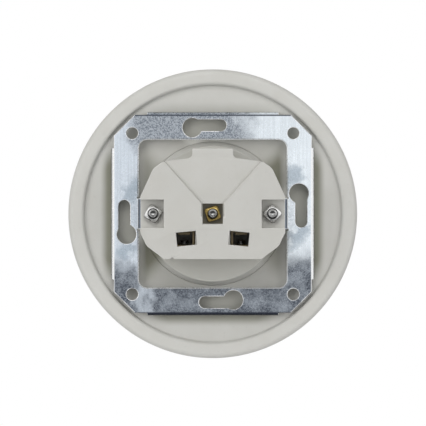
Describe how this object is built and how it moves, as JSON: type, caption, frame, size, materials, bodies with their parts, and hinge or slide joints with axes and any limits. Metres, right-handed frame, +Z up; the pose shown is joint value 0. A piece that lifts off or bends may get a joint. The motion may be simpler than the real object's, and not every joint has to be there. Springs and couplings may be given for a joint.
{
  "type": "type f wall socket",
  "caption": "Flush type F wall socket with a round cover, plug recess with earth clips, folded steel mounting plate and rear terminal block.",
  "frame": {"origin": "centre of the mounting plate's rear face, in the plane of the wall", "axes": "+Y into the wall, so the plug enters along +Y; +Z up; +X to the left as seen from behind"},
  "size_m": [0.099, 0.0355, 0.099],
  "materials": {
    "cover_plastic": "satin warm light grey moulding",
    "block_plastic": "satin warm light grey moulding",
    "zinc_plate": "bright blue zinc plating, mottled",
    "contact_brass": "plain brass, slightly dulled",
    "nickelled_brass": "nickel plated",
    "zinc_fasteners": "zinc plated"
  },
  "bodies": {
    "root": {"cover_frame": "cover_plastic", "socket_well": "cover_plastic", "base_block": "block_plastic", "mounting_plate": "zinc_plate", "live_contact": "contact_brass", "neutral_contact": "contact_brass", "live_terminal": "contact_brass", "neutral_terminal": "contact_brass", "terminal_screws": "zinc_fasteners", "earth_bracket": "nickelled_brass", "centre_screw": "zinc_fasteners", "centre_nut": "contact_brass", "assembly_screws": "zinc_fasteners", "assembly_nuts": "zinc_fasteners"}
  },
  "joints": []
}
